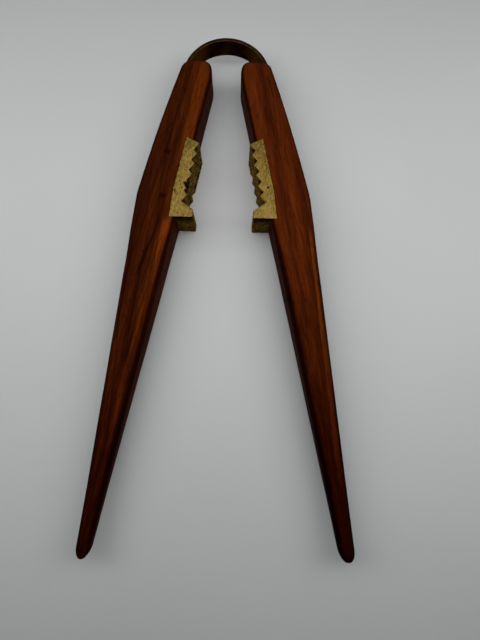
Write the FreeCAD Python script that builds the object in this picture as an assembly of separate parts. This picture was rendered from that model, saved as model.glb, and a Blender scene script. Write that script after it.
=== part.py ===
"""Sprung nutcracking tongs: two hardwood levers, a bent brass spring band and two toothed brass jaws.

Frame: the tongs lie on their back faces, +Z up through the thickness, +Y along the tongs
towards the spring, X across. X = 0 is the plane of symmetry, Z = 0 is the resting plane and
Y = 0 is half way between the crown of the spring and the tips of the handles.
Every sub-part of the right lever (+X) is modelled once and mirrored for the left lever.
"""
import FreeCAD, Part

import math
import os

from FreeCAD import Vector

# ---------------------------------------------------------------- driving dimensions, mm
OVERALL_LENGTH = 201.6          # crown of the spring to the tips of the handles
THICKNESS = 18.0                # handles and jaws, front face to back face

# Handle, seen from the front
INNER_EDGE_X = 23.3             # inner edge at Y = 0
INNER_EDGE_ANGLE = 12.2         # inner edge from the Y axis, degrees
OUTER_EDGE_X = 37.4             # outer edge at Y = 0
OUTER_EDGE_ANGLE = 7.55         # outer edge below the elbow, degrees
ELBOW_Y = 33.5                  # where the outer edge starts to slope in to the spring
UPPER_EDGE_ANGLE = 13.8         # outer edge just above the elbow, degrees
UPPER_EDGE_BOW = 2.7            # how far the upper outer edge has curved in at its end
ELBOW_BLEND = 5.0               # half length of the softened elbow
END_DROP = 11.4                 # from the crown of the spring down to the end grain
END_ROUND = 4.0                 # domed end beside the spring
END_CORNER_REACH = 5.6          # oval corner nearest the spring, across the handle
END_CORNER_RUN = 9.5            # and down it
EDGE_ROUND = 2.0                # long edges, beside the jaw and above it
GRIP_ROUND = 3.7                # long edges of the grip, below the jaw
GRIP_START_Y = 24.0             # where the edges start to grow rounder
GRIP_FULL_Y = 6.0               # where they have reached the grip's radius

# Handle, seen from the side
TAPER_START_Y = 0.0             # both faces are parallel above this
TIP_THICKNESS = 7.0
TIP_REACH = 2.35                # oval tip, across the handle
TIP_RUN = 4.6                   # and up it
FACE_SKIM = 0.06                # stock taken off each face to make it truly flat

# Jaw
JAW_TOP_Y = 56.1                # back corner of the jaw's upper end
JAW_TOP_X = 14.7
JAW_KINK_Y = 34.5               # where the back of the jaw turns nearly parallel to Y
JAW_KINK_X = 19.25
JAW_FOOT_Y = 24.1               # flat lower end of the jaw
JAW_FOOT_X = 20.4
FIRST_CREST_X = 9.45            # crest of the tooth nearest the spring
FIRST_CREST_Y = 53.4
TOOTH_LINE_ANGLE = 11.5         # line of crests from the Y axis, degrees
TOOTH_COUNT = 6
TOOTH_PITCH = 4.2
TOOTH_DEPTH = 1.55
ROOT_SHARE = 0.69               # share of a pitch from a crest to the root below it
LIP_TIP_X = 11.2                # hooked lip at the foot of the jaw
LIP_HEIGHT = 2.9
LIP_FACE_LEAN = 0.2

# Spring band
BAND_THICKNESS = 1.4
BAND_WIDTH = 8.8
BOW_RADIUS = 17.7               # outer face of the bow
BOW_HALF_ANGLE = 62.0           # from the crown to where the bow tightens, degrees
SHOULDER_RADIUS = 8.0           # tighter bend that turns the band into its tail
TAIL_LENGTH = 15.0
MORTISE_CLEARANCE = 0.05        # round each tail in its blind slot

# Pins
SPRING_PIN_RADIUS = 1.0         # driven in from the outer edge, through the tail
SPRING_PIN_DEPTH = 6.0          # how far the pin reaches past the middle of the tail
SPRING_PIN_PLACE = 0.62         # share of the tail's length from its top to the pin
JAW_PIN_RADIUS = 1.25           # blind dowels behind the jaw
JAW_PIN_LENGTH = 9.0
JAW_PIN_IN_BRASS = 2.4
JAW_PIN_HEIGHTS = (50.0, 29.0)  # Y of the upper and the lower dowel

# ---------------------------------------------------------------- derived sizes
CROWN_Y = OVERALL_LENGTH / 2
TIP_Y = -OVERALL_LENGTH / 2
END_Y = CROWN_Y - END_DROP
MID_Z = THICKNESS / 2
BOW_MID_RADIUS = BOW_RADIUS - BAND_THICKNESS / 2
BOW_CENTRE_Y = CROWN_Y - BOW_RADIUS
INNER_SLOPE = math.tan(math.radians(INNER_EDGE_ANGLE))
OUTER_SLOPE = math.tan(math.radians(OUTER_EDGE_ANGLE))
UPPER_SLOPE = math.tan(math.radians(UPPER_EDGE_ANGLE))
ELBOW_X = OUTER_EDGE_X - OUTER_SLOPE * ELBOW_Y


def inner_x(y):
    """Inner edge of the right handle: one straight line from end to tip."""
    return INNER_EDGE_X - INNER_SLOPE * y


def outer_x(y):
    """Outer edge of the right handle: straight, a soft elbow, then a gently bowed slope."""
    below = OUTER_EDGE_X - OUTER_SLOPE * y
    rise = (y - ELBOW_Y) / (END_Y - ELBOW_Y)
    above = ELBOW_X - UPPER_SLOPE * (y - ELBOW_Y) - UPPER_EDGE_BOW * rise * abs(rise)
    share = min(max((y - ELBOW_Y + ELBOW_BLEND) / (2 * ELBOW_BLEND), 0.0), 1.0)
    share = share * share * (3 - 2 * share)
    return below * (1 - share) + above * share


def taper(y):
    """0 where the two faces are parallel, 1 at the tip."""
    return min(max((TAPER_START_Y - y) / (TAPER_START_Y - TIP_Y), 0.0), 1.0)


def edge_round(y):
    """Radius of the long edges: small beside the jaw, larger along the grip."""
    share = min(max((GRIP_START_Y - y) / (GRIP_START_Y - GRIP_FULL_Y), 0.0), 1.0)
    share = share * share * (3 - 2 * share)
    return EDGE_ROUND + (GRIP_ROUND - EDGE_ROUND) * share


def end_inset(distance, run, reach):
    """How far an oval end has drawn in sideways, at this distance from its outermost point."""
    if distance >= run:
        return 0.0
    return reach * (1 - math.sqrt(1 - (1 - distance / run) ** 2))


def rounded_rectangle(y, x_low, x_high, z_low, z_high, radius):
    """Closed wire in the plane at this Y: four sides and four quarter-circle corners."""
    corners = (
        (x_high - radius, z_high - radius, 0),
        (x_low + radius, z_high - radius, 90),
        (x_low + radius, z_low + radius, 180),
        (x_high - radius, z_low + radius, 270),
    )
    edges = []
    previous = None
    for x, z, start in corners:
        angles = [math.radians(start + turn) for turn in (0, 45, 90)]
        points = [Vector(x + radius * math.cos(a), y, z + radius * math.sin(a)) for a in angles]
        if previous is not None:
            edges.append(Part.LineSegment(previous, points[0]).toShape())
        edges.append(Part.Arc(*points).toShape())
        previous = points[2]
    edges.append(Part.LineSegment(previous, edges[0].Vertexes[0].Point).toShape())
    return Part.Wire(edges)


def handle_section(y):
    """Outline of the right handle's cross-section at this Y."""
    share = taper(y)
    thickness = THICKNESS + (TIP_THICKNESS - THICKNESS) * share + 2 * FACE_SKIM
    tip_inset = end_inset(y - TIP_Y, TIP_RUN, TIP_REACH)
    inset = end_inset(END_Y - y, END_ROUND, END_ROUND) + tip_inset
    low = inner_x(y) + end_inset(END_Y - y, END_CORNER_RUN, END_CORNER_REACH) + tip_inset
    high = outer_x(y) - inset
    half = thickness / 2 - inset
    radius = edge_round(y) * (1 - share) + TIP_THICKNESS / 2 * share
    radius = min(radius + 0.4 * inset, 0.98 * half, 0.49 * (high - low))
    return rounded_rectangle(y, low, high, MID_Z - half, MID_Z + half, radius)


def handle_blank():
    """The right handle before anything is cut in it, lofted from tip to end."""
    dome = [1 - math.sin(math.radians(turn)) for turn in (86, 70, 50, 28, 0)]
    stations = [TIP_Y + TIP_RUN * share for share in dome]
    stations += [TIP_Y + TIP_RUN + step for step in (1.5, 4, 9, 18, 32, 48, 64, 76, 86)]
    stations += [TAPER_START_Y + step for step in (-3, 0, 3, 6, 10, 15, 20)]
    stations += [ELBOW_Y + step for step in (-8, -5, -2.5, 0, 2.5, 5, 8, 14, 24, 34, 43)]
    stations += [END_Y - END_ROUND - step for step in (6, 3, 1.2)]
    stations += [END_Y - END_ROUND * share for share in reversed(dome)]
    loft = Part.makeLoft([handle_section(y) for y in stations], True, False)
    slab = Part.makeBox(200, 400, THICKNESS, Vector(-100, -200, 0))
    return loft.common(slab)


def prism(points, z_low, z_high):
    """Solid between two heights over a closed outline of (x, y) points."""
    wire = Part.makePolygon([Vector(x, y, z_low) for x, y in points + points[:1]])
    return Part.Face(wire).extrude(Vector(0, 0, z_high - z_low))


def jaw_back():
    """Back outline of the right jaw, where it beds in the handle, from top to foot."""
    return [(JAW_TOP_X, JAW_TOP_Y), (JAW_KINK_X, JAW_KINK_Y), (JAW_FOOT_X, JAW_FOOT_Y)]


def jaw_front():
    """Toothed outline of the right jaw, from the lip up to the first crest."""
    lean = math.radians(TOOTH_LINE_ANGLE)
    along = (math.sin(lean), -math.cos(lean))
    inward = (math.cos(lean), math.sin(lean))
    points = []
    for index in range(TOOTH_COUNT):
        crest = index * TOOTH_PITCH
        root = crest + ROOT_SHARE * TOOTH_PITCH
        for reach, depth in ((crest, 0.0), (root, TOOTH_DEPTH)):
            x = FIRST_CREST_X + reach * along[0] + depth * inward[0]
            y = FIRST_CREST_Y + reach * along[1] + depth * inward[1]
            points.append((x, y))
    points.append((LIP_TIP_X, JAW_FOOT_Y + LIP_HEIGHT))
    points.append((LIP_TIP_X + LIP_FACE_LEAN, JAW_FOOT_Y))
    return points[::-1]


def jaw_pocket():
    """Outline of the notch that the jaw beds in, left open towards the other lever."""
    shoulder = (FIRST_CREST_X, FIRST_CREST_Y)
    return jaw_back() + [(0, JAW_FOOT_Y), (0, FIRST_CREST_Y), shoulder]


def jaw_dowels():
    """Axis start and direction of each dowel behind the right jaw, square to its upper back."""
    run = JAW_KINK_X - JAW_TOP_X
    rise = JAW_TOP_Y - JAW_KINK_Y
    length = math.hypot(run, rise)
    direction = Vector(rise / length, run / length, 0)
    starts = []
    for height in JAW_PIN_HEIGHTS:
        if height > JAW_KINK_Y:
            x = JAW_TOP_X + run * (JAW_TOP_Y - height) / rise
        else:
            share = (JAW_KINK_Y - height) / (JAW_KINK_Y - JAW_FOOT_Y)
            x = JAW_KINK_X + (JAW_FOOT_X - JAW_KINK_X) * share
        starts.append(Vector(x, height, MID_Z) - direction * JAW_PIN_IN_BRASS)
    return [Part.makeCylinder(JAW_PIN_RADIUS, JAW_PIN_LENGTH, s, direction) for s in starts]


def tail_top():
    """Where the shoulder of the right half of the band runs out into its straight tail."""
    turn = math.radians(BOW_HALF_ANGLE)
    shoulder_x = BOW_MID_RADIUS * math.sin(turn)
    shoulder_y = BOW_CENTRE_Y + BOW_MID_RADIUS * math.cos(turn)
    tail_x = shoulder_x + SHOULDER_RADIUS * (1 - math.sin(turn))
    tail_y = shoulder_y - SHOULDER_RADIUS * math.cos(turn)
    return Vector(tail_x, tail_y, 0)


def band_half(margin):
    """Right half of the band, grown by a margin on every face."""
    turn = math.radians(BOW_HALF_ANGLE)
    tail = tail_top()
    shoulder_centre = Vector(tail.x - SHOULDER_RADIUS, tail.y, 0)
    half = BAND_THICKNESS / 2 + margin

    def offset(side):
        bow = BOW_MID_RADIUS + side * half
        bend = SHOULDER_RADIUS + side * half
        centre = Vector(0, BOW_CENTRE_Y, 0)
        bow_points = [centre + Vector(math.sin(a), math.cos(a), 0) * bow for a in (0, turn / 2, turn)]
        rest = (math.pi / 2 - turn) / 2
        bend_angles = (turn, turn + rest, math.pi / 2)
        bend_points = [shoulder_centre + Vector(math.sin(a), math.cos(a), 0) * bend for a in bend_angles]
        foot = bend_points[2] - Vector(0, TAIL_LENGTH + margin, 0)
        return bow_points, bend_points, foot

    outer_bow, outer_bend, outer_foot = offset(1)
    inner_bow, inner_bend, inner_foot = offset(-1)
    edges = [
        Part.Arc(*outer_bow).toShape(),
        Part.Arc(*outer_bend).toShape(),
        Part.LineSegment(outer_bend[2], outer_foot).toShape(),
        Part.LineSegment(outer_foot, inner_foot).toShape(),
        Part.LineSegment(inner_foot, inner_bend[2]).toShape(),
        Part.Arc(*reversed(inner_bend)).toShape(),
        Part.Arc(*reversed(inner_bow)).toShape(),
        Part.LineSegment(inner_bow[0], outer_bow[0]).toShape(),
    ]
    width = BAND_WIDTH + 2 * margin
    solid = Part.Face(Part.Wire(edges)).extrude(Vector(0, 0, width))
    solid.translate(Vector(0, 0, MID_Z - width / 2))
    return solid


def spring_pin(margin):
    """Right spring pin, grown by a margin and running out past the handle's outer edge."""
    tail = tail_top()
    start = Vector(tail.x - SPRING_PIN_DEPTH, tail.y - TAIL_LENGTH * SPRING_PIN_PLACE, MID_Z)
    return Part.makeCylinder(SPRING_PIN_RADIUS + margin, 2 * OUTER_EDGE_X, start, Vector(1, 0, 0))


def mirrored(shape):
    """The same sub-part for the left lever."""
    return shape.mirror(Vector(0, 0, 0), Vector(1, 0, 0))


def build():
    """Returns every sub-part by node name."""
    blank = handle_blank()
    pin_bar = spring_pin(0.0)
    dowels = jaw_dowels()
    outline = jaw_back() + jaw_front()
    jaw = prism(outline, 0, THICKNESS)
    pocket = prism(jaw_pocket(), -1, THICKNESS + 1)
    mortise = band_half(MORTISE_CLEARANCE)
    handle = blank.cut(pocket).cut(mortise).cut(pin_bar)
    for dowel in dowels:
        handle = handle.cut(dowel)
        jaw = jaw.cut(dowel)
    band = band_half(0.0)
    band = band.fuse(mirrored(band)).removeSplitter()
    hole = spring_pin(MORTISE_CLEARANCE)
    band = band.cut(hole).cut(mirrored(hole))
    right = {
        "handle": handle,
        "jaw": jaw,
        "spring_pin": pin_bar.common(blank),
        "jaw_upper_pin": dowels[0],
        "jaw_lower_pin": dowels[1],
    }
    nodes = {"spring_band": band}
    for name, shape in right.items():
        nodes["right_" + name] = shape
        nodes["left_" + name] = mirrored(shape)
    return nodes


os.makedirs("parts", exist_ok=True)
for node, shape in build().items():
    solid = shape.Solids[0]
    solid.exportStep("parts/" + node + ".step")
    box = solid.BoundBox
    print(
        f"{node:22s} solids {len(shape.Solids)} valid {solid.isValid()} volume {solid.Volume:9.2f} "
        f"x {box.XMin:7.2f} {box.XMax:7.2f} y {box.YMin:7.2f} {box.YMax:7.2f} z {box.ZMin:6.2f} {box.ZMax:6.2f}"
    )
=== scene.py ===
"""Looks of a pair of sprung nutcracking tongs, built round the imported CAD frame.

Frame: +Z up through the thickness with the tongs lying on their backs, +Y along the tongs
towards the spring, +X towards the right lever; X = 0 is the plane of symmetry. Lengths are in
metres, written as millimetres times MM.
"""

import logging
import math
from abc import ABC, abstractmethod
from dataclasses import dataclass, field
from enum import Enum

import bmesh
import bpy
import numpy as np
from mathutils import Matrix, Vector, noise

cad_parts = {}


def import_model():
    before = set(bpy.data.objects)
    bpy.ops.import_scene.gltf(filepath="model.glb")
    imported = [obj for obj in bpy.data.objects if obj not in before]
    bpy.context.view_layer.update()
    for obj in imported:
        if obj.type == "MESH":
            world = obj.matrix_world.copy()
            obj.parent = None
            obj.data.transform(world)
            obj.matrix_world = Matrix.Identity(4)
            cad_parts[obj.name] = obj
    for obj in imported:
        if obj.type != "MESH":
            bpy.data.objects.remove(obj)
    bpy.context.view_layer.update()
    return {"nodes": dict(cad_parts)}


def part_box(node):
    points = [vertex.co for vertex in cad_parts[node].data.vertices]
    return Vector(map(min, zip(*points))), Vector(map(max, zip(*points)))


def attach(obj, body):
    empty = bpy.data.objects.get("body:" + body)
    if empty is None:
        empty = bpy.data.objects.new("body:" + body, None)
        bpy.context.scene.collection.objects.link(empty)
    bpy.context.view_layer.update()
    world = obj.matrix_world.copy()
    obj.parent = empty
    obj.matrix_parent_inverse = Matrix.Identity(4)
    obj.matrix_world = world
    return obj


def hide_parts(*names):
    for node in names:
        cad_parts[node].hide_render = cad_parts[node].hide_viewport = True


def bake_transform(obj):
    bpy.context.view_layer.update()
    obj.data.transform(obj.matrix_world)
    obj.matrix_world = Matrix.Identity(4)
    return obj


MM = 0.001
UNFILTERED = "FFFFFF"               # leaves a colour as it is where one filters another
# Rounded corners of a section, in turn: sign across, sign of Z and first angle in degrees.
CORNERS = ((1, 1, 0), (-1, 1, 90), (-1, -1, 180), (1, -1, 270))
log = logging.getLogger("tongs")


class Side(Enum):
    """The lever that a piece belongs to; the value is the sign of its X."""

    LEFT = -1
    RIGHT = 1

    @property
    def body(self) -> str:
        """Name of the CAD body of this lever."""
        return f"{self.name.lower()}_lever"

    def node(self, piece: str) -> str:
        """Name of this lever's node for one piece."""
        return f"{self.name.lower()}_{piece}"


class Relief(Enum):
    """What a height map in a bump node stands for."""

    RAISED = False
    SUNK = True


# ------------------------------------------------------------------------------ colours, nodes
def linear(colour: str) -> tuple[float, float, float, float]:
    """Turns an sRGB colour into the linear one that shaders take.

    Args:
        colour: sRGB as six hex digits.

    Returns:
        Linear red, green, blue and an alpha of 1.
    """
    channels = [int(colour[start:start + 2], 16) / 255 for start in (0, 2, 4)]
    flat = [c / 12.92 if c <= 0.04045 else ((c + 0.055) / 1.055) ** 2.4 for c in channels]
    return (*flat, 1.0)


def add(tree: bpy.types.NodeTree, kind: str, settings: dict | None = None) -> bpy.types.Node:
    """Adds one node with its settings and links.

    Where inputs share a name they are given by number. A Math node's terms are 0 to 2. A Map
    Range takes its value at 0, the range it comes from at 1 and 2, and the range it goes to,
    0 to 1 unless given, at 3 and 4. A colour Mix takes the share at 0 and its colours at 6 and 7.

    Args:
        tree: the material's node tree.
        kind: Blender's name of the node type.
        settings: by attribute or input, a value, an sRGB hex colour, or the output socket that
            feeds it; "stops" fills a colour ramp.

    Returns:
        The new node.
    """
    node = tree.nodes.new(kind)
    for key, value in (settings or {}).items():
        if key == "stops":
            ramp = node.color_ramp.elements
            while len(ramp) < len(value):
                ramp.new(1.0)
            for stop, (place, colour) in zip(ramp, value):
                stop.position = place
                stop.color = linear(colour)
        elif isinstance(key, str) and key not in node.inputs:
            setattr(node, key, value)
        elif isinstance(value, bpy.types.NodeSocket):
            tree.links.new(value, node.inputs[key])
        else:
            node.inputs[key].default_value = linear(value) if isinstance(value, str) else value
    return node


# ------------------------------------------------------------------------------------ finishes
class Finish(ABC):
    """A real material and how its surface was made."""

    @abstractmethod
    def surface(self, tree: bpy.types.NodeTree, place: bpy.types.NodeSocket) -> dict:
        """Adds the nodes of the finish.

        Args:
            tree: the material's node tree.
            place: object coordinates, in metres.

        Returns:
            Output sockets by the name of the shader input that each one feeds.
        """

    @property
    @abstractmethod
    def shader(self) -> dict:
        """Values that are the same all over the surface, by shader input."""

    def material(self, name: str) -> bpy.types.Material:
        """Makes the finish into a material.

        Args:
            name: the material's name.

        Returns:
            The material, ready to assign.
        """
        made = bpy.data.materials.new(name)
        made.use_nodes = True
        tree = made.node_tree
        tree.nodes.clear()
        coordinates = add(tree, "ShaderNodeTexCoord")
        sockets = self.surface(tree, coordinates.outputs["Object"])
        bsdf = add(tree, "ShaderNodeBsdfPrincipled", {**self.shader, **sockets})
        add(tree, "ShaderNodeOutputMaterial", {"Surface": bsdf.outputs[0]})
        return made


def pattern(tree: bpy.types.NodeTree, place: bpy.types.NodeSocket, across: float, along: float,
            detail: float = 2.0, distortion: float = 0.0, shift: float = 0.0
            ) -> bpy.types.NodeSocket:
    """Noise stretched along Y, as grain, casting skin or file marks are.

    Args:
        tree: the material's node tree.
        place: coordinates in metres, with Y along the stretch.
        across: size of one blotch across the stretch, in metres.
        along: size of one blotch along it, in metres.
        detail: how many finer layers the noise has.
        distortion: how far the noise is warped.
        shift: moves the pattern, so that two of the same size differ.

    Returns:
        The noise value, 0 to 1.
    """
    scaled = add(tree, "ShaderNodeMapping",
                 {"Scale": (1 / across, 1 / along, 1 / across), "Location": (shift, shift, shift),
                  "Vector": place})
    cloud = add(tree, "ShaderNodeTexNoise",
                {"Scale": 1.0, "Detail": detail, "Distortion": distortion,
                 "Vector": scaled.outputs[0]})
    return cloud.outputs[0]


def levelness(tree: bpy.types.NodeTree) -> bpy.types.NodeSocket:
    """How level the surface is: 1 on the broad faces, 0 on the upright sides."""
    facing = add(tree, "ShaderNodeTexCoord")
    upright = add(tree, "ShaderNodeSeparateXYZ", {0: facing.outputs["Normal"]})
    return add(tree, "ShaderNodeMath",
               {"operation": "ABSOLUTE", 0: upright.outputs[2]}).outputs[0]


@dataclass(frozen=True)
class Streak:
    """A tapered mark on the front face, drawn out between two points.

    It stands for a flame of paler wood, a dark line, a gouge, a crack in a casting, a painted
    highlight or painted shade.
    """

    start: tuple[float, float]
    end: tuple[float, float]
    width: tuple[float, float]      # at the start and at the end
    colour: str
    share: float = 0.9              # how much of it shows

    def mask(self, tree: bpy.types.NodeTree, place: bpy.types.NodeSocket,
             stray: bpy.types.NodeSocket) -> bpy.types.NodeSocket:
        """Finds where the streak is.

        Args:
            tree: the material's node tree.
            place: object coordinates, in metres.
            stray: slow noise that makes the streak wander.

        Returns:
            The share inside the streak, and 0 outside.
        """
        span = Vector((self.end[0] - self.start[0], self.end[1] - self.start[1], 0.0))
        turn = math.atan2(span.y, span.x)
        origin = Matrix.Rotation(-turn, 3, "Z") @ Vector((*self.start, 0.0))
        turned = add(tree, "ShaderNodeMapping",
                     {"Rotation": (0.0, 0.0, -turn), "Location": tuple(-origin), "Vector": place})
        parts = add(tree, "ShaderNodeSeparateXYZ", {0: turned.outputs[0]})
        reach = parts.outputs[0]
        swing = 0.3 * max(self.width)
        across = add(tree, "ShaderNodeMath",
                     {"operation": "MULTIPLY_ADD", 0: stray, 1: 2 * swing,
                      2: parts.outputs[1]}).outputs[0]
        off = add(tree, "ShaderNodeMath",
                  {"operation": "ABSOLUTE",
                   0: add(tree, "ShaderNodeMath",
                          {"operation": "SUBTRACT", 0: across, 1: swing}).outputs[0]}).outputs[0]
        half = add(tree, "ShaderNodeMapRange",
                   {"interpolation_type": "SMOOTHSTEP", 0: reach, 1: 0.0, 2: span.length,
                    3: self.width[0] / 2, 4: self.width[1] / 2}).outputs[0]
        inside = add(tree, "ShaderNodeMapRange",
                     {"interpolation_type": "SMOOTHSTEP",
                      0: add(tree, "ShaderNodeMath",
                             {"operation": "DIVIDE", 0: off, 1: half}).outputs[0], 1: 0.7,
                      2: 1.15, 3: self.share, 4: 0.0}).outputs[0]
        begun = add(tree, "ShaderNodeMapRange",
                    {"interpolation_type": "SMOOTHSTEP", 0: reach, 1: -0.05 * span.length,
                     2: 0.1 * span.length}).outputs[0]
        left = add(tree, "ShaderNodeMapRange",
                   {"interpolation_type": "SMOOTHSTEP", 0: reach, 1: 0.8 * span.length,
                    2: span.length, 3: 1.0, 4: 0.0}).outputs[0]
        return add(tree, "ShaderNodeMath",
                   {"operation": "MULTIPLY", 0: inside,
                    1: add(tree, "ShaderNodeMath",
                           {"operation": "MULTIPLY", 0: begun, 1: left}).outputs[0]}).outputs[0]


@dataclass(frozen=True)
class Knot:
    """A small dark pin knot in the front of a lever."""

    x: float
    y: float
    radius: float


@dataclass(frozen=True)
class OiledRosewood(Finish):
    """Rosewood, shaped and sanded, then oiled long ago: dark pores in almost matt brown wood.

    The wood is darker towards the tips.
    """

    lean: float                     # turn of the lever's axis from Y, radians
    axis_x: float                   # X of that axis at Y = 0
    light: str
    middle: str
    dark: str
    vein: str
    heart: str                      # colour of the strip that runs inside the lever's axis
    heart_share: float              # how much of that strip shows
    vein_share: float
    tip_darkening: str                    # filters the colour, darker towards the tips
    knots: tuple[Knot, ...] = ()
    streaks: tuple[Streak, ...] = ()
    shift: float = 0.0
    streak_width: float = 4.5 * MM
    streak_length: float = 80 * MM
    vein_width: float = 6.0 * MM
    vein_length: float = 110 * MM
    fibre_width: float = 0.45 * MM
    fibre_length: float = 9 * MM
    pore_width: float = 0.42 * MM   # true pores are 0.2 mm across; drawn wider to show
    pore_length: float = 2.6 * MM
    dark_y: float = -75 * MM        # below this the darkening towards the tips is full
    fade_y: float = 18 * MM         # above this it keeps its full colour
    wander_width: float = 6 * MM    # slow noise that the heart strip and the streaks follow
    wander_length: float = 40 * MM
    wander_swing: float = 7 * MM
    heart_edge: tuple[float, float] = (3.2 * MM, 5.0 * MM)  # from the axis, where it fades in
    vein_edge: tuple[float, float] = (0.012, 0.05)          # half width of a vein, in noise
    fibre_shade: str = "B4AAA2"     # filters the colour between the fibres
    fibre_share: float = 0.85
    pore_share: float = 0.55
    front_z: float = 18 * MM        # height of the front face, where the knots lie
    side_painted_shade: str = "B4A494"      # painted shade that filters the colour of the sides
    edge_painted_shade: str = "7C6A5C"      # and painted shade on the long rounded edges, which are darkest
    outer_side_share: float = 0.45  # how much of that painted shade shows on the outer side
    gloss: float = 0.008
    sheen: str = "C8A074"
    relief_depth: float = 0.04 * MM

    @property
    def shader(self) -> dict:
        """Wood whose oil has dried in: hardly any gloss, and what there is looks brown."""
        return {"IOR": 1.45, "Metallic": 0.0, "Specular IOR Level": self.gloss,
                "Specular Tint": linear(self.sheen)}

    def grain_place(self, tree: bpy.types.NodeTree, place: bpy.types.NodeSocket
                    ) -> bpy.types.NodeSocket:
        """Coordinates with X across the lever from its axis and Y along it."""
        level = add(tree, "ShaderNodeMapping",
                    {"Location": (-self.axis_x, 0.0, 0.0), "Vector": place})
        turned = add(tree, "ShaderNodeMapping",
                     {"Rotation": (0.0, 0.0, self.lean), "Vector": level.outputs[0]})
        return turned.outputs[0]

    def surface(self, tree: bpy.types.NodeTree, place: bpy.types.NodeSocket) -> dict:
        """Adds bands, heart strip, veins, fibres, pores, marks, the darker tips, and painted shade
        on the sides and long edges.
        """
        grain = self.grain_place(tree, place)
        band = pattern(tree, grain, self.streak_width, self.streak_length, 2.5, 0.3, self.shift)
        tone = add(tree, "ShaderNodeValToRGB",
                   {"stops": ((0.3, self.dark), (0.5, self.middle), (0.7, self.light)),
                    "Fac": band})
        colour = tone.outputs[0]

        wander = pattern(tree, grain, self.wander_width, self.wander_length, 3.0, 0.0,
                         self.shift + 5)
        parts = add(tree, "ShaderNodeSeparateXYZ", {0: grain})
        inward = add(tree, "ShaderNodeMath",
                     {"operation": "MULTIPLY", 0: parts.outputs[0],
                      1: -math.copysign(1.0, self.axis_x)}).outputs[0]
        strayed = add(tree, "ShaderNodeMath",
                      {"operation": "MULTIPLY_ADD", 0: wander, 1: self.wander_swing,
                       2: inward}).outputs[0]
        heart = add(tree, "ShaderNodeMapRange",
                    {"interpolation_type": "SMOOTHSTEP", 0: strayed, 1: self.heart_edge[0],
                     2: self.heart_edge[1], 3: 0.0, 4: self.heart_share}).outputs[0]
        colour = add(tree, "ShaderNodeMix",
                     {"data_type": "RGBA", 0: heart, 6: colour, 7: self.heart}).outputs[2]

        ring = pattern(tree, grain, self.vein_width, self.vein_length, 1.5, 0.5, self.shift + 9)
        off_middle = add(tree, "ShaderNodeMath",
                         {"operation": "ABSOLUTE",
                          0: add(tree, "ShaderNodeMath",
                                 {"operation": "SUBTRACT", 0: ring,
                                  1: 0.5}).outputs[0]}).outputs[0]
        vein = add(tree, "ShaderNodeMapRange",
                   {"interpolation_type": "SMOOTHSTEP", 0: off_middle, 1: self.vein_edge[0],
                    2: self.vein_edge[1], 3: self.vein_share, 4: 0.0}).outputs[0]
        colour = add(tree, "ShaderNodeMix",
                     {"data_type": "RGBA", 0: vein, 6: colour, 7: self.vein}).outputs[2]

        for streak in self.streaks:
            colour = add(tree, "ShaderNodeMix",
                         {"data_type": "RGBA", 0: streak.mask(tree, place, wander), 6: colour,
                          7: streak.colour}).outputs[2]

        fibre = pattern(tree, grain, self.fibre_width, self.fibre_length, 2.0, 0.0, self.shift + 2)
        furrow = add(tree, "ShaderNodeValToRGB",
                     {"stops": ((0.3, self.fibre_shade), (0.68, UNFILTERED)), "Fac": fibre})
        colour = add(tree, "ShaderNodeMix",
                     {"data_type": "RGBA", "blend_type": "MULTIPLY", 0: self.fibre_share,
                      6: colour, 7: furrow.outputs[0]}).outputs[2]

        speck = pattern(tree, grain, self.pore_width, self.pore_length, 1.0, 0.0, self.shift + 3)
        pore = add(tree, "ShaderNodeMapRange",
                   {"interpolation_type": "SMOOTHSTEP", 0: speck, 1: 0.6, 2: 0.72}).outputs[0]
        shown = add(tree, "ShaderNodeMath",
                    {"operation": "MULTIPLY", 0: pore, 1: self.pore_share}).outputs[0]
        colour = add(tree, "ShaderNodeMix",
                     {"data_type": "RGBA", 0: shown, 6: colour, 7: self.vein}).outputs[2]

        for knot in self.knots:
            spot = add(tree, "ShaderNodeVectorMath",
                       {"operation": "DISTANCE", 1: (knot.x, knot.y, self.front_z), 0: place})
            ragged = add(tree, "ShaderNodeMath",
                         {"operation": "MULTIPLY_ADD", 0: speck, 1: 0.5 * knot.radius,
                          2: spot.outputs["Value"]}).outputs[0]
            mark = add(tree, "ShaderNodeMapRange",
                       {"interpolation_type": "SMOOTHSTEP", 0: ragged, 1: 0.5 * knot.radius,
                        2: 1.5 * knot.radius, 3: 0.85, 4: 0.0}).outputs[0]
            colour = add(tree, "ShaderNodeMix",
                         {"data_type": "RGBA", 0: mark, 6: colour, 7: self.vein}).outputs[2]

        lengthwise = add(tree, "ShaderNodeSeparateXYZ", {0: place})
        tip_darkening = add(tree, "ShaderNodeMapRange",
                      {"interpolation_type": "SMOOTHSTEP", 0: lengthwise.outputs[1],
                       1: self.dark_y, 2: self.fade_y, 3: 1.0, 4: 0.0}).outputs[0]
        colour = add(tree, "ShaderNodeMix",
                     {"data_type": "RGBA", "blend_type": "MULTIPLY", 0: tip_darkening, 6: colour,
                      7: self.tip_darkening}).outputs[2]

        # Painted shade: the sides and long edges darken by which way they face, most on the side
        # towards the other lever.
        sides = add(tree, "ShaderNodeValToRGB",
                    {"stops": ((0.05, self.side_painted_shade), (0.4, self.edge_painted_shade),
                               (0.72, self.edge_painted_shade), (0.96, UNFILTERED)),
                     "Fac": levelness(tree)})
        facing_in = add(tree, "ShaderNodeMapRange",
                        {"interpolation_type": "SMOOTHSTEP", 0: inward, 1: -2 * MM, 2: 2 * MM,
                         3: self.outer_side_share, 4: 1.0}).outputs[0]
        colour = add(tree, "ShaderNodeMix",
                     {"data_type": "RGBA", "blend_type": "MULTIPLY", 0: facing_in, 6: colour,
                      7: sides.outputs[0]}).outputs[2]

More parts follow.
